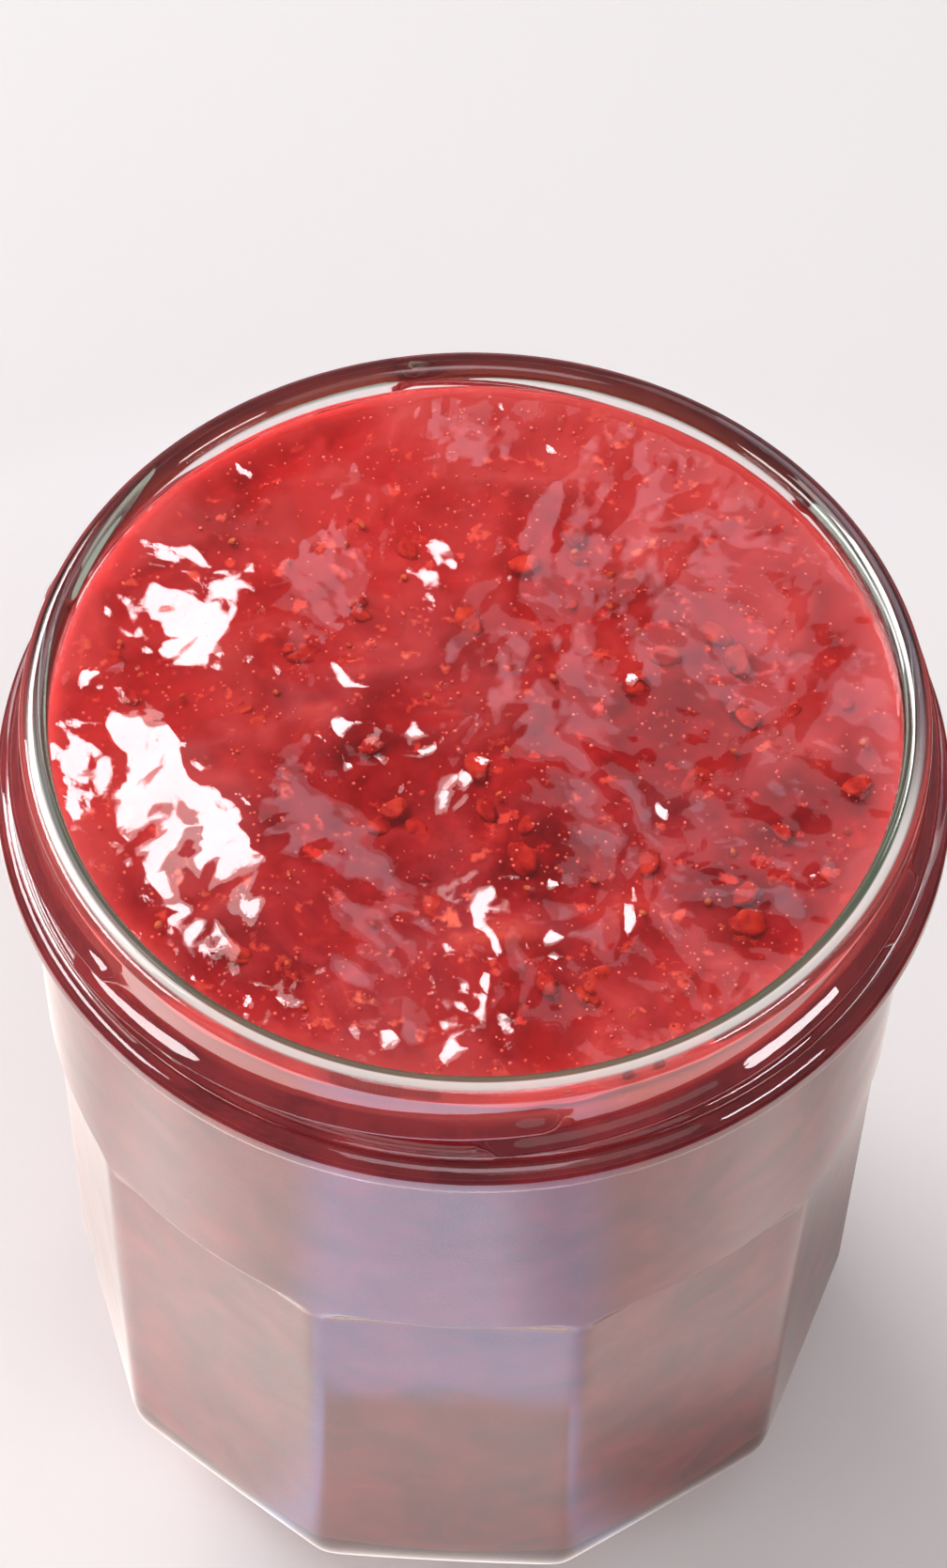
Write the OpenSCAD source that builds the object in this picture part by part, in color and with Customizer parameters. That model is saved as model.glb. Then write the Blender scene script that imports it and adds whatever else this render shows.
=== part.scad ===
// A facetted glass jar with a screw finish, open and filled with jam to just under its lip.

/* [Jar] */
// Height of the jar
jar_h = 98; // [80:1:120]
// Radius of the lip's outer wall
lip_r = 40; // [32:0.5:50]
// Thickness of the glass at the lip
lip_wall = 2.6; // [2:0.1:4]
// Radius of the lip's rounded edges
lip_round = 1.2; // [0.5:0.05:1.3]
// Thickness of the glass at the middle of a facet
facet_wall = 2.2; // [1.5:0.1:4]
// Slope of the wall from the finish down to the facets
band_taper = 1.2; // [0.5:0.1:3]
// Reach of the band's top past the lip
band_out = 0.2; // [0:0.1:1]
// Height of the round band between the bead and the facets' corners
band_h = 30.6; // [20:0.2:36]

/* [Finish] */
// Height of the threaded wall above the bead
finish_h = 9; // [7:0.2:14]
// Height of the bead
bead_h = 3.8; // [2.5:0.1:6]
// Reach of the bead past the lip
bead_out = 2.4; // [1:0.1:4]
// Radius of the bead's rounded edges
bead_round = 1.5; // [0.5:0.1:1.8]
// Number of thread lugs
lug_n = 6; // [5:1:7]
// Turn by which one lug overlaps the next, in degrees
lug_overlap = 6; // [4:1:12]
// Rise of the thread over one full turn
lug_pitch = 19.1; // [10:0.1:24]
// Half the thickness of a lug
lug_r = 1.3; // [0.8:0.05:1.8]
// Height of a lug's low end over the bead
lug_over = 1.1; // [0.9:0.1:3]
// Angle of the first lug's low end
lug_start = -144.5; // [-180:0.5:180]

/* [Facets] */
// Number of facets
facet_n = 10; // [6:1:16]
// Radius the body loses from the facets' top corners to the base
body_taper = 1.7; // [0:0.1:4]
// Half the turn that the soft edge between two facets covers, in degrees
edge_turn = 0.87; // [0.3:0.01:2]
// Radius of the hollow that ends a facet at its top
arch_r = 3.5; // [2:0.1:6]
// How far below the facet's corners the hollow starts
arch_drop = 0.6; // [0.3:0.1:2]
// Radius of a facet's rounding at the base
heel_r = 7; // [4:0.2:10]
// Radius of the round stock's rounding at the base
foot_r = 9; // [6:0.2:12]

/* [Base] */
// Thickness of the floor's glass at the middle
floor_t = 3.2; // [2:0.1:6]
// Height of the hollow under the base
push_h = 2.4; // [1:0.1:4]
// Rise of the floor inside, from its edge to the middle
dish_h = 1.6; // [0.8:0.1:3]
// Width of the flat ring that the jar stands on
ring_w = 2.2; // [1:0.1:4]
// Radius of the rounding inside the floor
floor_r = 7; // [4:0.2:10]

/* [Jam] */
// Depth of the jam's edge below the lip
jam_drop = 2.6; // [2:0.1:12]
// Rise of the jam's middle over its edge
jam_dome = 0.3; // [0:0.1:1.5]
// Height of the mound beside the middle
mound_h = 1; // [0:0.1:1.5]
// Radius of the mound
mound_r = 19; // [10:0.5:30]
// Distance of the mound's top to the right of the middle
mound_x = -5; // [-15:0.5:15]
// Distance of the mound's top behind the middle
mound_y = 3; // [-15:0.5:15]
// Height of the swells on the jam
swell = 0.8; // [0:0.05:2]
// Distance from one swell to the next
swell_w = 27; // [15:1:50]
// Space between the jam and the glass
jam_gap = 0.08; // [0.05:0.01:0.2]

/* [Hidden] */
$fn = 96;

bead_top = jar_h - finish_h;
bead_low = bead_top - bead_h;
corner_z = bead_low - band_h;
bead_r = lip_r + bead_out;
band_r = lip_r + band_out;
corner_r = band_r - band_taper;
base_r = corner_r - body_taper;
lean = atan(body_taper * cos(180 / facet_n) / corner_z);
stock_lean = atan(body_taper / corner_z);
facet_turn = 180 / facet_n - edge_turn;
facet_top_d = corner_r * cos(facet_turn);
facet_base_d = base_r * cos(facet_turn);
// How far a cutting shape runs on past what it cuts.
cutter_spare = 6;
end_spare = 1;
cut_depth = bead_r - facet_base_d + cutter_spare;
heel_sink = 1;

lug_turn = 360 / lug_n + lug_overlap;
lug_rise = lug_pitch * lug_turn / 360;
bore_r = lip_r - lip_wall;
neck_z = bead_low;
waist_r = facet_top_d - facet_wall;
cavity_base_r = facet_base_d - facet_wall;
stand_r = base_r - foot_r;
push_r = stand_r - ring_w;
push_ball = (push_r * push_r + push_h * push_h) / (2 * push_h);
floor_z = push_h + floor_t;
dish_r = cavity_base_r - floor_r;
dish_ball = (dish_r * dish_r + dish_h * dish_h) / (2 * dish_h);
ring_z = floor_z - dish_h;

// A lug's ring is sunk this far into the wall, and its ball ends are this share of its thickness,
// so that no two surfaces only touch.
lug_sink = 0.1;
lug_end = 0.97;

jam_z = jar_h - jam_drop;
cap_under = 3.5;
cap_overlap = 1;
cap_rings = 16;
cap_sides = 96;
// The waves on the jam: how many, the turn and the phase from each to the next, how much shorter
// each is, and the share of the swells' height that it has.
wave_n = 6;
wave_turn = 137.5;
wave_phase = 97;
wave_shrink = 0.1;
wave_share = 0.27;

// The outline of the stock before the facets are cut, as half a section.
module stock_2d() {
    foot_x = base_r + foot_r * tan(stock_lean) - foot_r / cos(stock_lean);
    polygon([[0, 0], [foot_x, 0],
             [foot_x + foot_r * cos(stock_lean), foot_r - foot_r * sin(stock_lean)],
             [corner_r, corner_z], [band_r, bead_low], [0, bead_low]]);
    translate([foot_x, foot_r]) circle(foot_r);
    translate([0, bead_low]) square([bead_r - bead_round, bead_h]);
    translate([0, bead_low + bead_round]) square([bead_r, bead_h - 2 * bead_round]);
    for (z = [bead_low + bead_round, bead_top - bead_round])
        translate([bead_r - bead_round, z]) circle(bead_round);
    translate([0, bead_low]) square([lip_r, jar_h - lip_round - bead_low]);
    translate([0, bead_low]) square([lip_r - lip_round, jar_h - bead_low]);
    translate([lip_r - lip_round, jar_h - lip_round]) circle(lip_round);
}

// The room inside the glass as half a section, up to height z and held in from the glass by gap.
module cavity_2d(z, gap) {
    difference() {
        union() {
            polygon([[0, ring_z], [dish_r, ring_z],
                     [cavity_base_r - gap, ring_z + floor_r], [waist_r - gap, corner_z],
                     [bore_r - gap, neck_z], [bore_r - gap, z], [0, z]]);
            translate([dish_r - gap, ring_z + floor_r]) circle(floor_r);
        }
        translate([0, floor_z - dish_ball]) circle(dish_ball);
        translate([-2 * floor_r, 0]) square([2 * floor_r, jar_h]);
    }
}

// The rounded edge inside the lip.
module lip_flare_2d() {
    difference() {
        translate([bore_r - end_spare, jar_h - lip_round])
            square([lip_round + end_spare, lip_round + end_spare]);
        translate([bore_r + lip_round, jar_h - lip_round]) circle(lip_round);
    }
}

// What one facet takes off the stock: hollow at the top, rounded in under the base.
module facet_cutter() {
    side = 2 * bead_r * tan(180 / facet_n);
    slant = corner_z / cos(lean) - arch_drop;
    translate([facet_base_d, side / 2, 0]) rotate([90, 0, 0])
        linear_extrude(side) rotate(-lean) difference() {
            union() {
                translate([arch_r, -heel_sink])
                    square([cut_depth - arch_r, slant + arch_r + heel_sink]);
                translate([-heel_r, -heel_r]) square([heel_r + cut_depth, slant + heel_r]);
                translate([arch_r, slant]) circle(arch_r);
            }
            translate([-heel_r, heel_r - heel_sink]) circle(heel_r);
            translate([-2 * heel_r, heel_r - heel_sink]) square([2 * heel_r, slant]);
            translate([-2 * heel_r, -2 * heel_r]) square([heel_r, 4 * heel_r]);
        }
}

// One slanted thread lug with rounded ends, centred on +X.
module lug() {
    tilt = atan(lug_rise / (2 * lip_r * sin(lug_turn / 2)));
    translate([0, 0, bead_top + lug_over + lug_rise / 2]) rotate([tilt, 0, 0]) {
        rotate([0, 0, -lug_turn / 2])
            rotate_extrude(angle = lug_turn) translate([lip_r - lug_sink, 0]) circle(lug_r);
        for (a = [-lug_turn / 2, lug_turn / 2])
            rotate([0, 0, a]) translate([lip_r - lug_sink, 0, 0]) sphere(lug_r * lug_end);
    }
}

module jar() {
    color([0.86, 0.92, 0.9, 0.35]) difference() {
        union() {
            difference() {
                rotate_extrude() stock_2d();
                for (i = [0 : facet_n - 1])
                    rotate([0, 0, -90 + i * 360 / facet_n]) facet_cutter();
                translate([0, 0, push_h - push_ball]) sphere(push_ball);
            }
            for (i = [0 : lug_n - 1])
                rotate([0, 0, lug_start + lug_turn / 2 + i * 360 / lug_n]) lug();
        }
        rotate_extrude() cavity_2d(jar_h + end_spare, 0);
        rotate_extrude() lip_flare_2d();
    }
}

// One of the waves that make up the swells: each runs its own way and is shorter than the last.
function wave(x, y, i) =
    let (a = wave_turn * i, length = swell_w * (1 + wave_shrink * (1 - i)))
    sin(360 * (x * cos(a) + y * sin(a)) / length + wave_phase * i * i);

function waves(x, y, i = 0) = i == wave_n ? 0 : wave(x, y, i) + waves(x, y, i + 1);

// The jam's height over its edge at a point, r from the middle. The swells die out at the glass.
function jam_rise(x, y, r) =
    let (out = r / bore_r, off = norm([x - mound_x, y - mound_y]) / mound_r,
         mound = mound_h * exp(-off * off))
    wave_share * swell * (1 - pow(out, 4)) * waves(x, y) + (jam_dome + mound) * (1 - out * out);

// The top layer of the jam, whose upper face carries the swells.
module jam_cap() {
    r_max = bore_r - 2 * jam_gap;
    top = [for (i = [1 : cap_rings], k = [0 : cap_sides - 1])
        let (r = r_max * i / cap_rings, a = 360 * k / cap_sides, x = r * cos(a), y = r * sin(a))
        [x, y, jam_z + jam_rise(x, y, r)]];
    under = [for (k = [0 : cap_sides - 1])
        let (a = 360 * k / cap_sides) [r_max * cos(a), r_max * sin(a), jam_z - cap_under]];
    centre = cap_rings * cap_sides;
    n = cap_sides;
    points = concat(top, [[0, 0, jam_z + jam_rise(0, 0, 0)]], under);
    faces = concat(
        [for (k = [0 : n - 1]) [centre, (k + 1) % n, k]],
        [for (i = [0 : cap_rings - 2], k = [0 : n - 1])
            [i * n + k, i * n + (k + 1) % n, (i + 1) * n + k]],
        [for (i = [0 : cap_rings - 2], k = [0 : n - 1])
            [i * n + (k + 1) % n, (i + 1) * n + (k + 1) % n, (i + 1) * n + k]],
        [for (k = [0 : n - 1]) let (o = centre - n)
            [o + k, o + (k + 1) % n, centre + 1 + k]],
        [for (k = [0 : n - 1]) let (o = centre - n)
            [o + (k + 1) % n, centre + 1 + (k + 1) % n, centre + 1 + k]],
        [[for (k = [0 : n - 1]) centre + 1 + k]]);
    polyhedron(points, faces);
}

module jam() {
    color([0.62, 0.05, 0.08]) {
        rotate_extrude() cavity_2d(jam_z - cap_under + cap_overlap, jam_gap);
        jam_cap();
    }
}

jar();
jam();
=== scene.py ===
"""Looks for the facetted jar of jam: clear glass, red pulp, gel, fruit bits, seeds and bubbles."""
from math import cos, pi, radians, sin, sqrt

import bpy
import numpy as np
from mathutils import Matrix, Vector


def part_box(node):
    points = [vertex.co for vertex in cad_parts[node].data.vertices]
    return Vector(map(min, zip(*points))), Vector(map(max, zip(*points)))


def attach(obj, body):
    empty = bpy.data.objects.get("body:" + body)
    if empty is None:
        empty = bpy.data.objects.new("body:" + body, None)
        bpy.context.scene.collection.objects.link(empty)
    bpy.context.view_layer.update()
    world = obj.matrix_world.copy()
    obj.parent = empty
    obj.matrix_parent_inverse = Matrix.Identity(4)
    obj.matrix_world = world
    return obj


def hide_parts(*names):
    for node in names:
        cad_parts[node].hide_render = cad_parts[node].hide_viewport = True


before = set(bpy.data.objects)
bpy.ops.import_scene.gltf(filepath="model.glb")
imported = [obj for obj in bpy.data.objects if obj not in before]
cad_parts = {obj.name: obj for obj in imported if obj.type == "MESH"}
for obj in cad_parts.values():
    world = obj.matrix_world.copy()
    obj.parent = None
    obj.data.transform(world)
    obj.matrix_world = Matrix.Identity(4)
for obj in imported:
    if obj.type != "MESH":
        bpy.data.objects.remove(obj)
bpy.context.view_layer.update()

# ---------------------------------------------------------------- sizes in millimetres
MM = 0.001
JAR_LOW, JAR_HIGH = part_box("jar")
JAR_H = JAR_HIGH[2] / MM
BEAD_R = (JAR_HIGH[0] - JAR_LOW[0]) / 2 / MM
BEAD_OUT = 2.4
LIP_R = BEAD_R - BEAD_OUT
LIP_WALL = 2.6
BORE_R = LIP_R - LIP_WALL
LIP_ROUND = 1.2
FINISH_H = 9.0
BEAD_H = 3.8
BEAD_ROUND = 1.5
BEAD_TOP = JAR_H - FINISH_H
BEAD_LOW = BEAD_TOP - BEAD_H
NECK_ROUND = 0.9
LUGS = 6
LUG_TURN = radians(66)
LUG_START = radians(-144.5)
LUG_PITCH = 19.1
LUG_RISE = LUG_PITCH * LUG_TURN / (2 * pi)
LUG_LOW = BEAD_TOP + 1.1
LUG_W = 1.55
LUG_OUT = 1.2
LUG_FULLNESS = 0.75
BAND_R = LIP_R + 0.2
CORNER_R = BAND_R - 1.2
CORNER_Z = BEAD_LOW - 30.6
BASE_R = CORNER_R - 1.7
FACETS = 10
EDGE_TURN = radians(0.87)
EDGE_ROUND = 0.09
FACET_TOP_D = CORNER_R * cos(pi / FACETS - EDGE_TURN)
FACET_BASE_D = BASE_R * cos(pi / FACETS - EDGE_TURN)
ARCH_R = 3.5
ARCH_DROP = 0.6
HEEL_Z = 9.0
STAND_R = BASE_R - 9.0
RING_W = 2.2
PUSH_H = 2.4
FACET_WALL = 2.2
WAIST_R = FACET_TOP_D - FACET_WALL
CAVITY_BASE_R = FACET_BASE_D - FACET_WALL
FLOOR_Z = 5.6
DISH_H = 1.6
FLOOR_R = 7.0
FOOT_Z = FLOOR_Z - DISH_H + FLOOR_R
JAM_Z = JAR_H - 2.6
JAM_DOME = 0.3
SWELL = 0.55
SWELL_W = 27.0
MOUND_H = 1.0
MOUND_R = 19.0
MOUND_AT = (-5.0, 3.0)
INTO_WALL = 0.35

# The pulp's side starts below the gel's underside, so that the gel sits in the pulp.
GEL_LOW_Z = JAM_Z - 3.2
PULP_SIDE_Z = JAM_Z - 3.4

# How far the lip's green tint runs out from the bore, and where the painted white highlight on its front
# starts.
TINT_W = 1.8
PAINTED_HIGHLIGHT_IN = 1.05

# The shoulder that the spoon pushed up: its height, its direction and half its span.
SHOULDER_H = 1.35
SHOULDER_AT = radians(211)
SHOULDER_SPAN = 0.80

# Small lumps on the jam: x, y, radius and height.
LUMPS = [
    (-5.4, -33.0, 2.6, 0.50), (2.6, -33.2, 1.5, 0.28), (-11.2, -26.6, 1.6, 0.30), (-10.6, -16.2, 2.0, 0.40),
    (-6.8, -17.0, 1.6, 0.32), (-4.2, -20.2, 1.0, 0.20), (8.6, -15.0, 1.0, 0.22), (9.2, -20.5, 1.5, 0.28),
    (31.0, -14.6, 1.5, 0.35), (27.0, -20.6, 2.2, 0.45), (15.0, 6.9, 1.6, 0.32), (-33.2, 3.7, 1.6, 0.36)]

# Columns of the glass: half the edge's span in degrees, columns over an edge and over the flat beside it.
EDGE_HALF, EDGE_COLS, FLAT_COLS = 3.0, 14, 22
# Spacing of the rows over the lugs and over the arches.
LUG_ROW, ARCH_ROW = 0.17, 0.16
# Squares across the jam's surface, for the pulp and for the gel.
PULP_GRID, GEL_GRID = 180, 230
# How many of each float in the gel.
BITS, SEEDS, BUBBLES = 110, 60, 1500

# ---------------------------------------------------------------- looks
GLASS_IOR = 1.5
GEL_IOR = 1.42
GEL_DENSITY = 520.0
CLEAR = (0.97, 0.99, 0.985, 1)
# The lip's green tints its glass; at the lip's front, where the glass is made partly matte, it is a painted
# reflection. The lip's white is a painted highlight.
LIP_GREEN = (0.15, 0.21, 0.14, 1)
LIP_PAINTED_HIGHLIGHT = (0.96, 0.96, 0.92, 1)
PULP_REDS = [(0.30, (0.15, 0.008, 0.014)), (0.46, (0.27, 0.016, 0.023)),
             (0.60, (0.37, 0.030, 0.033)), (0.76, (0.54, 0.090, 0.055))]
PULP_SIDE_REDS = [(0.35, (0.16, 0.005, 0.010)), (0.7, (0.34, 0.020, 0.024))]
PULP_PALE = (0.52, 0.075, 0.062, 1)
PULP_FLECK = (0.70, 0.17, 0.10, 1)
PULP_SHORE = (0.44, 0.058, 0.052, 1)
GEL_TINT = (1.0, 0.93, 0.93, 1)
GEL_SOAK = (0.92, 0.14, 0.16, 1)
BIT_REDS = [(0.35, (0.32, 0.018, 0.014)), (0.7, (0.60, 0.085, 0.04))]
SEED_BROWNS = [(0.35, (0.42, 0.08, 0.02)), (0.7, (0.66, 0.22, 0.08))]
# The bubbles' bright pale reds are painted glints.
BUBBLE_GLINT_REDS = [(0.35, (0.75, 0.10, 0.06)), (0.7, (0.90, 0.32, 0.24))]
FLOOR_WHITES = [(0.3, (0.90, 0.895, 0.895)), (0.7, (0.94, 0.935, 0.935))]
CARD_LAVENDER = (1.05, 1.08, 1.38, 1)
CARD_CREAM = (1.0, 0.90, 0.86, 1)
CARD_GLOW = 2.7

# Lights, in metres and watts: name, direction from LIGHTS_AIM, distance, size, power and colour.
LIGHTS_AIM = Vector((0, 0, 0.09))
MIRRORED_LIGHTS = [
    ("window", (-0.38, 0.47, 0.80), 0.9, (0.40, 0.30), 9.5, (1.0, 0.86, 0.90)),
    ("left_glow", (-1.0, 0.0, 0.50), 0.9, (0.9, 0.27), 13.5, (1.0, 0.96, 0.97)),
    ("right_glow", (0.81, -0.40, 0.43), 0.9, (0.32, 0.16), 3.2, (1.0, 0.96, 0.98)),
    ("front_glow", (0.0, -0.52, 0.85), 0.9, (0.5, 0.42), 2.8, (1.0, 0.80, 0.88)),
    ("back_right", (0.40, 0.65, 0.68), 1.1, (0.7, 0.5), 2.0, (0.93, 0.80, 1.0)),
    ("haze", (0.30, 0.64, 0.80), 0.42, (0.22, 0.20), 0.20, (1.0, 0.86, 0.95))]
SOFT_LIGHTS = [
    ("soft_window", (-0.45, 0.45, 0.78), 0.9, (0.5, 0.5), 4.8, (1.0, 0.97, 0.96)),
    ("soft_front", (0.3, -0.6, 0.75), 0.9, (0.6, 0.6), 1.1, (1.0, 0.97, 0.96))]
SKY_COLOUR = (1.0, 0.96, 0.97, 1)
SKY_STRENGTH = 0.42


# ---------------------------------------------------------------- small tools
def smooth(lo, hi, x):
    """A soft step from 0 at lo to 1 at hi."""
    t = np.clip((x - lo) / (hi - lo), 0, 1)
    return t * t * (3 - 2 * t)


def lattice(ix, iy, iz, seed):
    """Whole numbers in, an even random number from 0 to 1 out, the same in each run."""
    h = (ix * 374761393 + iy * 668265263 + iz * 2147483647 + seed * 1274126177) & 0xFFFFFFFF
    h = ((h ^ (h >> 13)) * 1274126177) & 0xFFFFFFFF
    return ((h ^ (h >> 16)) & 0xFFFFFF) / float(0xFFFFFF)


def noise(x, y, z, seed):
    """Smooth noise from -1 to 1 over a lattice one unit wide."""
    x, y, z = np.broadcast_arrays(np.asarray(x, float), y, z)
    cell = [np.floor(v).astype(np.int64) for v in (x, y, z)]
    t = [v - c for v, c in zip((x, y, z), cell)]
    t = [v * v * v * (v * (v * 6 - 15) + 10) for v in t]
    total = 0
    for i in (0, 1):
        for j in (0, 1):
            for k in (0, 1):
                w = (t[0] if i else 1 - t[0]) * (t[1] if j else 1 - t[1]) * (t[2] if k else 1 - t[2])
                total = total + w * lattice(cell[0] + i, cell[1] + j, cell[2] + k, seed)
    return total * 2 - 1


def layered(x, y, z, seed, octaves):
    """A few octaves of noise, each half as wide and half as strong as the last."""
    return sum(noise(x * 2 ** i, y * 2 ** i, z * 2 ** i, seed + i) / 2 ** i for i in range(octaves))


def relief(x, y, height, cell, level, seed):
    """Noise of a height over cells of a width, cut at one level of its third direction."""
    return height * noise(x / cell, y / cell, level, seed)


def warped(x, y, cell, amount, seed):
    """The place moved about by noise, so that what is drawn there runs in bends."""
    return x + relief(x, y, amount, cell, 0.3, seed), y + relief(x, y, amount, cell, 0.7, seed + 1)


def soft_min(a, b, k):
    """The smaller of two, with the crease between them rounded."""
    m = np.minimum(a, b)
    return m - k * np.log(np.exp(-(a - m) / k) + np.exp(-(b - m) / k))


def arc(cx, cz, r, start, end, steps):
    """Points along a circular arc in a half section, angles in degrees."""
    a = np.radians(np.linspace(start, end, steps))
    return [(cx + r * c, cz + r * s) for c, s in zip(np.cos(a), np.sin(a))]


def cap_height(r, height, ball):
    """Height at radius r of a shallow cap of the given ball, whose top is at height."""
    return height - ball + sqrt(ball ** 2 - r ** 2)


def ball_for(radius, height):
    """Radius of the ball whose cap has this radius and this height."""
    return (radius ** 2 + height ** 2) / (2 * height)


# ---------------------------------------------------------------- meshes
def make_mesh(name, verts, faces, material, node=None):
    """A smooth-shaded mesh object from points in millimetres, which rides with the jar."""
    mesh = bpy.data.meshes.new(name)
    mesh.from_pydata((np.asarray(verts) * MM).tolist(), [], [tuple(map(int, f)) for f in faces])
    mesh.validate()
    mesh.polygons.foreach_set("use_smooth", [True] * len(mesh.polygons))
    piece = bpy.data.objects.new(name, mesh)
    bpy.context.scene.collection.objects.link(piece)
    piece.data.materials.append(material)
    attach(piece, "root")
    if node:
        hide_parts(node)
    return piece


def grid_faces(rows, cols, flip=False):
    """Quads between rows of points that each run round a closed ring; flip turns them over."""
    i, k = np.meshgrid(np.arange(rows - 1), np.arange(cols), indexing="ij")
    n = (k + 1) % cols
    quad = [i * cols + k, i * cols + n, (i + 1) * cols + n, (i + 1) * cols + k]
    if flip:
        quad = quad[:1] + quad[:0:-1]
    return np.stack(quad, -1).reshape(-1, 4).tolist()


def strip_faces(upper, lower):
    """Quads between two closed rings, each a list of point numbers."""
    n = len(upper)
    return [(upper[k], lower[k], lower[(k + 1) % n], upper[(k + 1) % n]) for k in range(n)]


def fan_faces(ring, centre, flip=False):
    """Triangles from a closed ring of point numbers to the point in its middle."""
    pairs = [(ring[k], ring[(k + 1) % len(ring)]) for k in range(len(ring))]
    return [(centre, a, b) if flip else (centre, b, a) for a, b in pairs]


def disc_grid(n, radius):
    """A square grid of points laid out to fill a disc, with its rim as one closed ring."""
    s = np.linspace(-1, 1, n + 1)
    a, b = np.meshgrid(s, s, indexing="ij")
    big = np.maximum(np.abs(a), np.abs(b))
    length = np.hypot(a, b)
    scale = np.where(length > 0, big / np.where(length > 0, length, 1), 0)
    x, y = a * scale * radius, b * scale * radius
    idx = np.arange((n + 1) ** 2).reshape(n + 1, n + 1)
    quads = np.stack([idx[:-1, :-1], idx[1:, :-1], idx[1:, 1:], idx[:-1, 1:]], -1)
    rim = np.concatenate([idx[:-1, 0], idx[-1, :-1], idx[:0:-1, -1], idx[0, :0:-1]])
    return x.ravel(), y.ravel(), quads.reshape(-1, 4).tolist(), rim


# ---------------------------------------------------------------- the glass
def jar_turns():
    """Angles of the jar's columns, closer together at the edges between facets."""
    step = 360 / FACETS
    edge = np.linspace(-EDGE_HALF, EDGE_HALF, EDGE_COLS, endpoint=False)
    flat = np.linspace(EDGE_HALF, step - EDGE_HALF, FLAT_COLS, endpoint=False)
    one = np.concatenate([edge, flat])
    return np.radians(np.concatenate([one + step * k - step / 2 - 90 for k in range(FACETS)]))


def facet_angle(turn):
    """Angle from the middle of the nearest facet."""
    step = 2 * pi / FACETS
    return (turn + pi / 2 + step / 2) % step - step / 2


def body_radius(turn, z):
    """Outer radius of the facetted body and the round band above it."""
    stock = np.where(z < CORNER_Z, BASE_R + (CORNER_R - BASE_R) * z / CORNER_Z,
                     CORNER_R + (BAND_R - CORNER_R) * (z - CORNER_Z) / (BEAD_LOW - CORNER_Z))
    start = CORNER_Z - ARCH_DROP
    flat = FACET_BASE_D + (FACET_TOP_D - FACET_BASE_D) * np.minimum(z, start) / CORNER_Z
    up = np.clip((z - start) / ARCH_R, 0, 1)
    clear_of_stock = np.where(z > start + ARCH_R, 9.0, 0.0)
    flat = flat + ARCH_R * (1 - np.sqrt(1 - up * up)) + clear_of_stock
    return soft_min(stock, flat / np.cos(facet_angle(turn)), EDGE_ROUND)


def lug_height(turn, z):
    """How far the thread lugs stand out of the finish wall."""
    out = np.zeros(np.broadcast(turn, z).shape)
    half = LUG_TURN / 2
    for i in range(LUGS):
        middle = LUG_START + half + i * 2 * pi / LUGS
        along = (turn - middle + pi) % (2 * pi) - pi
        inside = np.clip(along, -half, half)
        centre = LUG_LOW + LUG_RISE / 2 + LUG_RISE * inside / LUG_TURN
        away = np.hypot((along - inside) * LIP_R, z - centre)
        crest = 0.5 + 0.5 * np.cos(pi * np.clip(away / LUG_W, 0, 1))
        out = np.maximum(out, LUG_OUT * crest ** LUG_FULLNESS)
    return out


def finish_rows(turn):
    """The lip's outer rounding, the threaded wall and the bead: rows of radius and height."""
    lip = arc(LIP_R - LIP_ROUND, JAR_H - LIP_ROUND, LIP_ROUND, 90, 6, 9)
    rows = [(np.full_like(turn, r), z) for r, z in lip]
    for z in np.arange(JAR_H - LIP_ROUND, BEAD_TOP - 0.3, -LUG_ROW):
        rows.append((LIP_R + lug_height(turn, z), z))
    bead = arc(LIP_R + NECK_ROUND, BEAD_TOP + NECK_ROUND * 0.6, NECK_ROUND, 215, 268, 6)
    bead += arc(BEAD_R - BEAD_ROUND, BEAD_TOP - BEAD_ROUND, BEAD_ROUND, 88, 0, 12)
    bead += arc(BEAD_R - BEAD_ROUND, BEAD_LOW + BEAD_ROUND, BEAD_ROUND, 0, -88, 12)
    for r, z in bead:
        rows.append((np.maximum(r, LIP_R + lug_height(turn, z)), z))
    return rows


def outer_rows():
    """The outside from the lip's top down to the heel."""
    turn = jar_turns()
    rows = finish_rows(turn)
    for r, z in arc(BAND_R + NECK_ROUND, BEAD_LOW - NECK_ROUND, NECK_ROUND, 92, 178, 7):
        rows.append((np.full_like(turn, r), z))
    band = np.linspace(BEAD_LOW - NECK_ROUND - 0.4, CORNER_Z + 3.4, 16)
    arch = np.arange(CORNER_Z + 3.2, CORNER_Z - 1.2, -ARCH_ROW)
    facet = np.linspace(CORNER_Z - 1.4, HEEL_Z, 20)
    for z in np.concatenate([band, arch, facet]):
        rows.append((body_radius(turn, z), z))
    edge = body_radius(turn, HEEL_Z)
    for a in np.radians(np.linspace(6, 90, 15)):
        rows.append((edge - (edge - STAND_R) * (1 - cos(a)), HEEL_Z * (1 - sin(a))))
    return rows


def under_rows():
    """The stand ring and the hollow under the base."""
    ones = np.ones(len(jar_turns()))
    push_r = STAND_R - RING_W
    ball = ball_for(push_r, PUSH_H)
    rows = [(ones * (STAND_R - 0.9), 0.0), (ones * (push_r + 0.4), 0.0), (ones * (push_r - 0.1), 0.05)]
    for r in np.linspace(push_r - 0.8, 0.6, 12):
        rows.append((ones * r, cap_height(r, PUSH_H, ball)))
    return rows


def cavity_radius(z):
    """Inner radius of the glass, from the neck down to the rounding inside the floor."""
    waist = (BORE_R - WAIST_R) * smooth(BEAD_LOW + 3, CORNER_Z, z)
    return np.where(z > CORNER_Z, BORE_R - waist,
                    CAVITY_BASE_R + (WAIST_R - CAVITY_BASE_R) * (z - FOOT_Z) / (CORNER_Z - FOOT_Z))


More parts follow.
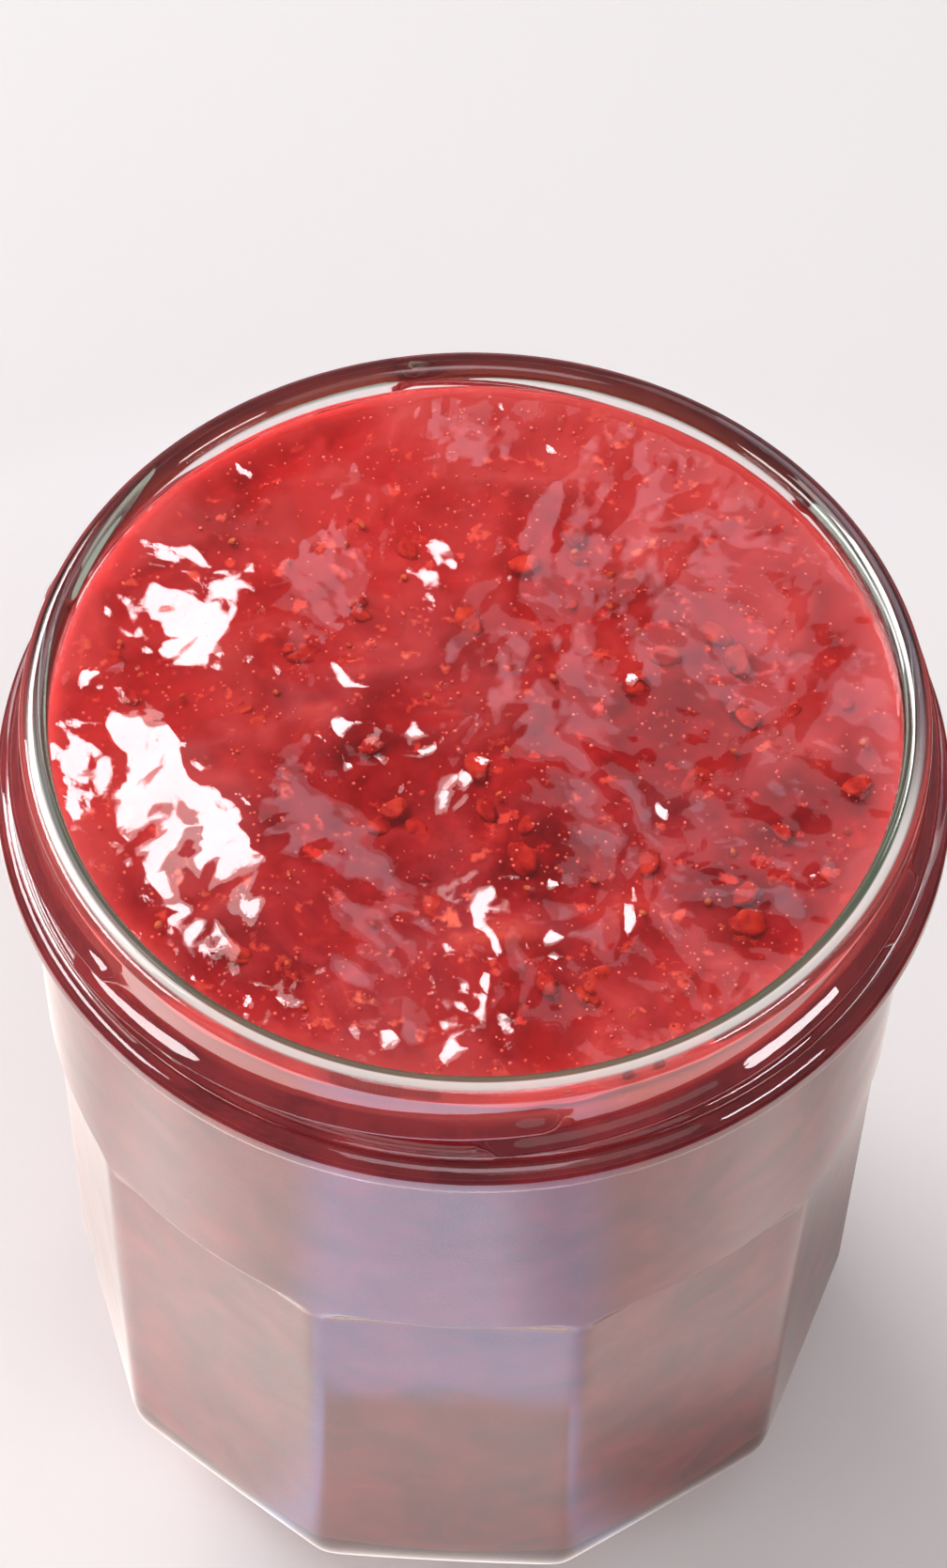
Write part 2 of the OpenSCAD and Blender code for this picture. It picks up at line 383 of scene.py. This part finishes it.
def inner_rows(out=0.0, top=None):
    """The inside, from the lip or from top down to the middle of the floor. out reaches into the wall."""
    ones = np.ones(len(jar_turns()))
    rows = []
    if top is None:
        for r, z in arc(BORE_R + LIP_ROUND, JAR_H - LIP_ROUND, LIP_ROUND, 90, 176, 8):
            rows.append((ones * r, z))
        top = JAR_H - LIP_ROUND - 0.2
    for z in np.linspace(top, FOOT_Z, 44):
        rows.append((ones * (cavity_radius(z) + out), z))
    dish_r = float(cavity_radius(FOOT_Z)) - FLOOR_R
    for r, z in arc(dish_r, FOOT_Z, FLOOR_R + out, -8, -90, 12):
        rows.append((ones * r, z))
    ball = ball_for(dish_r, DISH_H)
    for r in np.linspace(dish_r - 1, 0.6, 9):
        rows.append((ones * r, cap_height(r, FLOOR_Z, ball) - out))
    return rows


def build_glass(material):
    """The jar: one closed shell, from under the base round the lip to the floor inside."""
    turn = jar_turns()
    outside, inside = outer_rows() + under_rows(), inner_rows()
    rows = outside[::-1] + inside
    rings = [np.stack([r * np.cos(turn), r * np.sin(turn), np.full_like(turn, z)], -1) for r, z in rows]
    rings.append([(0, 0, outside[-1][1]), (0, 0, inside[-1][1])])
    cols, count = len(turn), len(rows) * len(turn)
    faces = grid_faces(len(rows), cols)
    faces += fan_faces(range(cols), count)
    faces += fan_faces(range(count - cols, count), count + 1, flip=True)
    piece = make_mesh("jar_glass", np.concatenate(rings), faces, material, "jar")
    piece.visible_shadow = False


# ---------------------------------------------------------------- the jam
def jam_swell(x, y):
    """The slow swells and the mound of the jam's surface, a little calmer than the CAD solid's.

    The swells are six waves, each shorter than the last and turned by the golden angle.
    """
    r = np.clip(np.hypot(x, y) / BORE_R, 0, 1)
    waves = 0
    for i in range(6):
        a = radians(137.5 * i)
        across = (x * cos(a) + y * sin(a)) / (SWELL_W * (1.1 - 0.1 * i))
        waves = waves + np.sin(2 * pi * across + radians(97 * i * i))
    mound = MOUND_H * np.exp(-((x - MOUND_AT[0]) ** 2 + (y - MOUND_AT[1]) ** 2) / MOUND_R ** 2)
    return 0.27 * SWELL * (1 - r ** 4) * waves + (JAM_DOME + mound) * (1 - r * r)


def shoulder_height(x, y, out):
    """The ragged ridge that the spoon pushed up, at a share out of the bore's radius."""
    off = np.abs((np.arctan2(y, x) - SHOULDER_AT + pi) % (2 * pi) - pi)
    ragged = out + relief(x, y, 0.045, 6, 0.1, 21)
    rise = smooth(0.88, 0.70, ragged) * (1 - 0.75 * smooth(0.68, 0.38, ragged))
    return SHOULDER_H * rise * smooth(SHOULDER_SPAN, 0.35, off)


def jam_height(x, y):
    """Height of the wet surface: swells, the spoon's shoulder, lumps and pulp."""
    out = np.clip(np.hypot(x, y) / BORE_R, 0, 1)
    wx, wy = warped(x, y, 9, 2.4, 11)
    lump = relief(wx, wy, 0.22, 8, 0.5, 34) + relief(wx, wy, 0.13, 3.4, 0.3, 41)
    for cx, cy, r, h in LUMPS:
        lump = lump + h * np.exp(-((wx - cx) ** 2 + (wy - cy) ** 2) / (r * r))
    pulp = relief(wx, wy, 0.06, 1.6, 0.6, 51) + relief(x, y, 0.018, 0.8, 0.2, 55)
    return JAM_Z + jam_swell(x, y) + shoulder_height(x, y, out) + (1 - out ** 12) * (lump - 0.1) + pulp


def gel_depth(x, y):
    """Depth of the clear gel over the pulp: from 0.25 mm to about 2.5, shallower at the glass."""
    wx, wy = warped(x, y, 6, 2.0, 61)
    deep = 0.5 + 0.5 * layered(wx / 7, wy / 7, 0.2, 71, 3)
    shore = 1 - 0.6 * smooth(0.90, 0.99, np.hypot(x, y) / BORE_R)
    return 0.25 + 2.3 * np.clip(deep, 0, 1) ** 1.3 * shore


def build_pulp(material):
    """The pulp: an opaque body that fills the glass, with the lumps that show under the gel."""
    x, y, faces, rim = disc_grid(PULP_GRID, BORE_R + INTO_WALL)
    points = [np.stack([x, y, jam_height(x, y) - gel_depth(x, y)], -1)]
    turn = np.arctan2(y[rim], x[rim])
    count, upper = len(x), rim
    for radii, level in inner_rows(INTO_WALL, PULP_SIDE_Z):
        r = radii[0]
        points.append(np.stack([r * np.cos(turn), r * np.sin(turn), np.full_like(turn, level)], -1))
        lower = np.arange(count, count + len(rim))
        faces += strip_faces(upper, lower)
        count, upper = count + len(rim), lower
    points.append([(0, 0, level)])
    faces += fan_faces(upper, count)
    make_mesh("jam_pulp", np.concatenate(points), faces, material, "jam")


def build_gel(material):
    """The clear red gel over the pulp, with a flat underside that the pulp hides."""
    x, y, faces, rim = disc_grid(GEL_GRID, BORE_R + INTO_WALL)
    top = np.stack([x, y, jam_height(x, y)], -1)
    inside = 0.995 * (BORE_R + INTO_WALL) / np.hypot(x[rim], y[rim])
    low = np.stack([x[rim] * inside, y[rim] * inside, np.full(len(rim), GEL_LOW_Z)], -1)
    points = [top, top[rim] - [0, 0, 0.8], top[rim] - [0, 0, 1.6], low, [(0, 0, GEL_LOW_Z)]]
    count, upper = len(top), rim
    for _ in range(3):
        lower = np.arange(count, count + len(rim))
        faces += strip_faces(upper, lower)
        count, upper = count + len(rim), lower
    faces += fan_faces(upper, count)
    piece = make_mesh("jam_gel", np.concatenate(points), faces, material)
    piece.visible_shadow = False


# ---------------------------------------------------------------- what floats in the gel
def turned_shape(profile, sides, flat=1.0):
    """A small closed body from a profile of radius and height that starts and ends on its axis."""
    turn = [2 * pi * k / sides for k in range(sides)]
    verts = [(r * cos(a), flat * r * sin(a), z) for r, z in profile[1:-1] for a in turn]
    ends = [(0, 0, profile[0][1]), (0, 0, profile[-1][1])]
    rings, count = len(profile) - 2, len(verts)
    down = profile[0][1] > profile[-1][1]
    faces = grid_faces(rings, sides, flip=down)
    faces += fan_faces(range(sides), count, flip=down)
    faces += fan_faces(range(count - sides, count), count + 1, flip=not down)
    return np.array(verts + ends), faces


def seed_shape(rings=6, sides=8):
    """A flat drop with one narrower end."""
    steps = [i / rings for i in range(rings + 1)]
    profile = [(0.5 * max(sin(pi * t), 0) ** 0.8 * (1 - 0.35 * t), t - 0.5) for t in steps]
    return turned_shape(profile, sides, 0.72)


def ball_shape(rings, sides):
    """A round ball one millimetre across."""
    steps = [pi * i / rings for i in range(rings + 1)]
    return turned_shape([(0.5 * sin(t), 0.5 * cos(t)) for t in steps], sides)


def bit_shape():
    """A flat ragged scrap of fruit."""
    verts, faces = ball_shape(10, 16)
    torn = 1 + 0.55 * noise(verts[:, 0] * 2.6, verts[:, 1] * 2.6, verts[:, 2] * 2.6, 81)
    return verts * torn[:, None] * (1.0, 0.62, 0.3), faces


def scatter(name, shape, places, sizes, rng, material, tilt=pi):
    """Copies of one shape, each turned its own way and leant by up to tilt, joined in one mesh."""
    base, base_faces = shape
    verts, faces = [], []
    for place, size in zip(places, sizes):
        axis = Vector((*rng.normal(size=2), 0)).normalized()
        turn = np.array(Matrix.Rotation(rng.uniform(-tilt, tilt), 3, axis)
                        @ Matrix.Rotation(rng.uniform(0, 2 * pi), 3, "Z"))
        offset = len(verts) * len(base)
        verts.append((base * size) @ turn.T + place)
        faces += [tuple(v + offset for v in f) for f in base_faces]
    make_mesh(name, np.concatenate(verts), faces, material)


def top_places(count, rng, low, high):
    """Places under the wet surface, from low to high millimetres deep, clear of the glass."""
    r = (BORE_R - 1.0) * np.sqrt(rng.uniform(0, 1, count))
    a = rng.uniform(0, 2 * pi, count)
    x, y = r * np.cos(a), r * np.sin(a)
    z = jam_height(x, y) - rng.uniform(low, high, count)
    return np.stack([x, y, z], -1)


def build_bits(material):
    """Scraps of fruit that lie nearly flat in the gel."""
    rng = np.random.default_rng(8)
    places = top_places(BITS, rng, 1.0, 1.9)
    sizes = rng.uniform(1.0, 3.4, len(places))
    scatter("fruit_bits", bit_shape(), places, sizes, rng, material, tilt=0.3)


def build_seeds(material):
    """Seeds, each its own way up."""
    rng = np.random.default_rng(5)
    places = top_places(SEEDS, rng, 0.5, 1.3)
    sizes = rng.uniform(0.7, 1.1, len(places))
    scatter("seeds", seed_shape(), places, sizes, rng, material)


def build_bubbles(material):
    """Fine specks just under the surface, coloured bright as painted glints of bubbles."""
    rng = np.random.default_rng(6)
    places = top_places(BUBBLES, rng, 0.12, 0.6)
    sizes = rng.uniform(0.10, 0.34, len(places))
    scatter("bubbles", ball_shape(5, 8), places, sizes, rng, material)


# ---------------------------------------------------------------- node tools
def new_material(name):
    """A new material, its node tree and its main shader."""
    m = bpy.data.materials.new(name)
    m.use_nodes = True
    return m, m.node_tree, m.node_tree.nodes["Principled BSDF"]


def add(nt, kind, **values):
    """A node with some of its inputs or settings filled in."""
    n = nt.nodes.new(kind)
    for key, value in values.items():
        if key in n.inputs:
            n.inputs[key].default_value = value
        else:
            setattr(n, key, value)
    return n


def feed(nt, socket, value):
    """Links a socket to an input, or sets the input to a plain colour or number."""
    if isinstance(value, (tuple, float)):
        socket.default_value = value
    else:
        nt.links.new(value, socket)


def noise_node(nt, scale, detail, rough=0.55, distortion=0.0):
    """Noise in object space; scale is waves per metre."""
    coord = add(nt, "ShaderNodeTexCoord")
    n = add(nt, "ShaderNodeTexNoise", Scale=scale, Detail=detail, Roughness=rough, Distortion=distortion)
    nt.links.new(coord.outputs["Object"], n.inputs["Vector"])
    return n.outputs["Fac"]


def ramp(nt, source, stops):
    """A colour ramp over a source's value; stops are (place, colour)."""
    n = add(nt, "ShaderNodeValToRGB")
    while len(n.color_ramp.elements) < len(stops):
        n.color_ramp.elements.new(0.5)
    for e, (place, colour) in zip(n.color_ramp.elements, stops):
        e.position = place
        e.color = (*colour, 1)
    nt.links.new(source, n.inputs["Fac"])
    return n.outputs["Color"]


def greys(nt, source, low, high, most=1.0):
    """A ramp from black at low to a grey at high."""
    return ramp(nt, source, [(low, (0, 0, 0)), (high, (most, most, most))])


def mix(nt, factor, a, b):
    """The colour between a and b; each is a socket or a plain colour."""
    n = add(nt, "ShaderNodeMix", data_type="RGBA")
    for socket, value in ((n.inputs[0], factor), (n.inputs[6], a), (n.inputs[7], b)):
        feed(nt, socket, value)
    return n.outputs[2]


def span(nt, source, low, high):
    """0 where the source is at low, 1 where it is at high, softly between."""
    n = add(nt, "ShaderNodeMapRange", interpolation_type="SMOOTHSTEP")
    n.inputs["From Min"].default_value = low
    n.inputs["From Max"].default_value = high
    nt.links.new(source, n.inputs["Value"])
    return n.outputs["Result"]


def maths(nt, operation, *values):
    """The outcome of one operation; each value is a socket or a plain number."""
    n = add(nt, "ShaderNodeMath", operation=operation)
    for socket, value in zip(n.inputs, values):
        feed(nt, socket, value)
    return n.outputs[0]


def times(nt, a, b):
    """The product of two values."""
    return maths(nt, "MULTIPLY", a, b)


def less(nt, share, amount):
    """One, less the given amount of a share from 0 to 1."""
    return maths(nt, "SUBTRACT", 1.0, times(nt, share, amount))


def place_nodes(nt):
    """The object's x, y and z, and the distance from the jar's axis, in metres."""
    coord = add(nt, "ShaderNodeTexCoord")
    split = add(nt, "ShaderNodeSeparateXYZ")
    nt.links.new(coord.outputs["Object"], split.inputs[0])
    flat = add(nt, "ShaderNodeVectorMath", operation="MULTIPLY")
    flat.inputs[1].default_value = (1, 1, 0)
    nt.links.new(coord.outputs["Object"], flat.inputs[0])
    out = add(nt, "ShaderNodeVectorMath", operation="LENGTH")
    nt.links.new(flat.outputs[0], out.inputs[0])
    return split.outputs["X"], split.outputs["Y"], split.outputs["Z"], out.outputs["Value"]


def bump(nt, source, strength, distance):
    """A normal roughened by the source."""
    n = add(nt, "ShaderNodeBump", Strength=strength, Distance=distance)
    nt.links.new(source, n.inputs["Height"])
    return n.outputs["Normal"]


# ---------------------------------------------------------------- materials
def glass_material():
    """Clear pressed glass, faintly wavy, green along the lip's inner edge. At the lip's front the glass is
    made partly matte, to show a painted reflection in green and a painted white highlight.
    """
    m, nt, p = new_material("clear_glass")
    p.inputs["IOR"].default_value = GLASS_IOR
    _, y, z, out = place_nodes(nt)
    inner = span(nt, out, (BORE_R + TINT_W + 0.3) * MM, (BORE_R + TINT_W) * MM)
    lip = times(nt, inner, span(nt, z, (JAR_H - 1.6) * MM, (JAR_H - 1.0) * MM))
    # Painted reflection and painted highlight: the lip's front is made partly matte, green as a painted
    # reflection, with a white band on it as a painted highlight.
    painted_lip_front = times(nt, lip, span(nt, y, 0.008, -0.014))
    painted_highlight = times(nt, painted_lip_front, span(nt, out, (BORE_R + PAINTED_HIGHLIGHT_IN) * MM, (BORE_R + PAINTED_HIGHLIGHT_IN + 0.2) * MM))
    nt.links.new(mix(nt, painted_highlight, mix(nt, lip, CLEAR, LIP_GREEN), LIP_PAINTED_HIGHLIGHT), p.inputs["Base Color"])
    white = times(nt, painted_lip_front, less(nt, painted_highlight, -0.4))
    nt.links.new(less(nt, white, 0.55), p.inputs["Transmission Weight"])
    nt.links.new(greys(nt, noise_node(nt, 60, 4), 0.35, 0.8, 0.03), p.inputs["Roughness"])
    nt.links.new(bump(nt, noise_node(nt, 70, 2), 0.12, 0.0012), p.inputs["Normal"])
    return m


def pulp_material():
    """Soft red pulp: dark between the lumps, orange flecks, paler at the glass and dark further down, with
    painted light that makes it paler towards the back.
    """
    m, nt, p = new_material("jam_pulp")
    _, y, z, out = place_nodes(nt)
    lumps = noise_node(nt, 150, 5, 0.6, 0.5)
    patch = greys(nt, noise_node(nt, 45, 2), 0.45, 0.66, 0.55)
    # Painted light: the back of the pulp is mixed paler, as if lit from there.
    back = times(nt, span(nt, y, -0.015, 0.025), 0.45)
    patched = mix(nt, back, mix(nt, patch, ramp(nt, lumps, PULP_REDS), PULP_PALE), PULP_PALE)
    flecked = mix(nt, greys(nt, noise_node(nt, 520, 3, 0.5), 0.62, 0.70), patched, PULP_FLECK)
    shore = times(nt, span(nt, out, 0.90 * BORE_R * MM, 0.99 * BORE_R * MM), 0.8)
    rimmed = mix(nt, shore, flecked, PULP_SHORE)
    high = span(nt, z, (JAM_Z - 5.5) * MM, (JAM_Z - 2.5) * MM)
    nt.links.new(mix(nt, high, ramp(nt, lumps, PULP_SIDE_REDS), rimmed), p.inputs["Base Color"])
    p.inputs["Roughness"].default_value = 0.5
    p.inputs["Specular IOR Level"].default_value = 0.05
    nt.links.new(bump(nt, noise_node(nt, 900, 4), 0.25, 0.0003), p.inputs["Normal"])
    return m


def gel_material():
    """Wet clear red gel that darkens with its depth."""
    m, nt, p = new_material("jam_gel")
    p.inputs["Base Color"].default_value = GEL_TINT
    p.inputs["Transmission Weight"].default_value = 1.0
    p.inputs["IOR"].default_value = GEL_IOR
    nt.links.new(greys(nt, noise_node(nt, 300, 4), 0.4, 0.7, 0.015), p.inputs["Roughness"])
    nt.links.new(bump(nt, noise_node(nt, 700, 4, 0.6), 0.06, 0.0003), p.inputs["Normal"])
    soak = add(nt, "ShaderNodeVolumeAbsorption", Color=GEL_SOAK, Density=GEL_DENSITY)
    nt.links.new(soak.outputs["Volume"], nt.nodes["Material Output"].inputs["Volume"])
    return m


def mottled_material(name, scale, stops, rough, specular=0.5):
    """A finish whose colour wanders between the stops."""
    m, nt, p = new_material(name)
    nt.links.new(ramp(nt, noise_node(nt, scale, 3), stops), p.inputs["Base Color"])
    p.inputs["Roughness"].default_value = rough
    p.inputs["Specular IOR Level"].default_value = specular
    return m


def bit_material():
    """Soft fruit flesh, which glows a little inside."""
    m = mottled_material("fruit_bits", 600, BIT_REDS, 0.5, 0.03)
    p = m.node_tree.nodes["Principled BSDF"]
    p.inputs["Subsurface Weight"].default_value = 0.4
    p.inputs["Subsurface Radius"].default_value = (1.0, 0.3, 0.2)
    p.inputs["Subsurface Scale"].default_value = 0.002
    return m


def card_material():
    """The glow of a sheet painted as the lit table's reflection: lavender in front and cream at the sides,
    dimmer by an amount in each zone, with painted shadow near the jar and painted shade on the right.
    """
    m = bpy.data.materials.new("card")
    m.use_nodes = True
    nt = m.node_tree
    nt.nodes.clear()
    x, y, _, far = place_nodes(nt)
    side = maths(nt, "ABSOLUTE", x)
    front = (FACET_BASE_D + 18) * MM
    # Painted shadow: the zones near the jar are dimmed as the jar's shadow on the table; the right side is
    # dimmed as painted shade.
    near_front = times(nt, span(nt, y, -front - 0.005, -front), span(nt, side, 0.020, 0.014))
    right = span(nt, x, 0.006, 0.030)
    near_right = times(nt, right, span(nt, far, (BASE_R + 18) * MM, (BASE_R + 3) * MM))
    near = span(nt, far, (BASE_R + 16) * MM, (BASE_R + 3) * MM)
    behind = span(nt, y, -0.032, 0.0)
    outside = span(nt, far, 0.106, 0.118)
    dimmer = [(near_front, 0.12), (right, 0.40), (near_right, 0.55),
              (near, 0.2), (behind, 0.45), (outside, 0.9)]
    strength = CARD_GLOW
    for zone, amount in dimmer:
        strength = times(nt, strength, less(nt, zone, amount))
    slant = span(nt, maths(nt, "DIVIDE", side, far), 0.40, 0.62)
    colour = mix(nt, near_front, mix(nt, slant, CARD_LAVENDER, CARD_CREAM), CARD_CREAM)
    glow = add(nt, "ShaderNodeEmission")
    nt.links.new(strength, glow.inputs["Strength"])
    nt.links.new(colour, glow.inputs["Color"])
    nt.links.new(glow.outputs[0], add(nt, "ShaderNodeOutputMaterial").inputs["Surface"])
    return m


# ---------------------------------------------------------------- the stage
def stage_mesh(name, points, faces, material):
    """A mesh in metres that isn't part of the jar."""
    mesh = bpy.data.meshes.new(name)
    mesh.from_pydata(points, [], faces)
    mesh.materials.append(material)
    piece = bpy.data.objects.new(name, mesh)
    bpy.context.scene.collection.objects.link(piece)
    return piece


def build_floor():
    """A plain pale floor, a hair below the jar."""
    half, low = 1.2, -0.0002
    corners = [(-half, -half, low), (half, -half, low), (half, half, low), (-half, half, low)]
    stage_mesh("floor", corners, [(0, 1, 2, 3)], mottled_material("floor", 3, FLOOR_WHITES, 0.7))


def build_card():
    """A bright sheet on the floor that only reflections see, as the white table round the jar."""
    sides, lift = 96, 0.0003
    turn = np.linspace(0, 2 * pi, sides, endpoint=False)
    rings = ((STAND_R + 3) * MM, 0.085, 0.16, 0.5)
    points = [np.stack([r * np.cos(turn), r * np.sin(turn), np.full(sides, lift)], -1) for r in rings]
    faces = grid_faces(len(rings), sides, flip=True)
    card = stage_mesh("card", np.concatenate(points).tolist(), faces, card_material())
    card.visible_camera = False
    card.visible_diffuse = False
    card.visible_transmission = False
    card.visible_shadow = False


def area_light(name, direction, distance, size, power, colour):
    """A rectangular light in the given direction from LIGHTS_AIM, turned towards it."""
    data = bpy.data.lights.new(name, "AREA")
    data.shape = "RECTANGLE"
    data.size, data.size_y = size
    data.energy = power
    data.color = colour
    light = bpy.data.objects.new(name, data)
    bpy.context.scene.collection.objects.link(light)
    aim = Vector(direction).normalized()
    light.location = LIGHTS_AIM + aim * distance
    light.rotation_euler = aim.to_track_quat("Z", "Y").to_euler()
    return light


def build_lights():
    """Bright panels that show only as mirror images in the jam and the glass, and soft light."""
    for row in MIRRORED_LIGHTS:
        light = area_light(*row)
        light.visible_diffuse = False
        light.visible_transmission = False
        light.visible_volume_scatter = False
    for row in SOFT_LIGHTS:
        area_light(*row)
    world = bpy.data.worlds.new("studio")
    bpy.context.scene.world = world
    world.use_nodes = True
    sky = world.node_tree.nodes["Background"]
    sky.inputs["Color"].default_value = SKY_COLOUR
    sky.inputs["Strength"].default_value = SKY_STRENGTH


def build_camera():
    """A long lens above the front, rolled a little, aimed at the jar's lip."""
    distance, elevation, roll, turn = 0.560, radians(55.59), radians(1.67), radians(1.354)
    aim = Vector((-0.00004, -0.00673))
    forward = Vector((0, cos(elevation), -sin(elevation)))
    right = Vector((1, 0, 0))
    up = Vector((0, sin(elevation), cos(elevation)))
    spin = Matrix.Rotation(turn, 3, "Z")
    place = Vector((0, 0, JAR_HIGH[2])) + spin @ (-forward * distance + right * aim.x + up * aim.y)
    side = spin @ (right * cos(roll) + up * sin(roll))
    top = spin @ (-right * sin(roll) + up * cos(roll))
    back = spin @ -forward
    data = bpy.data.cameras.new("camera")
    data.sensor_fit = "VERTICAL"
    data.sensor_height = 36
    data.lens = 147.1
    data.clip_start = 0.01
    camera = bpy.data.objects.new("camera", data)
    bpy.context.scene.collection.objects.link(camera)
    camera.matrix_world = Matrix.Translation(place) @ Matrix((side, top, back)).transposed().to_4x4()
    bpy.context.scene.camera = camera


def main():
    """Builds the scene."""
    bpy.context.scene.view_settings.view_transform = "Standard"
    build_camera()
    build_glass(glass_material())
    build_pulp(pulp_material())
    build_gel(gel_material())
    build_bits(bit_material())
    build_seeds(mottled_material("seeds", 400, SEED_BROWNS, 0.4, 0.05))
    build_bubbles(mottled_material("bubbles", 400, BUBBLE_GLINT_REDS, 0.3, 0.1))
    build_floor()
    build_card()
    build_lights()


main()
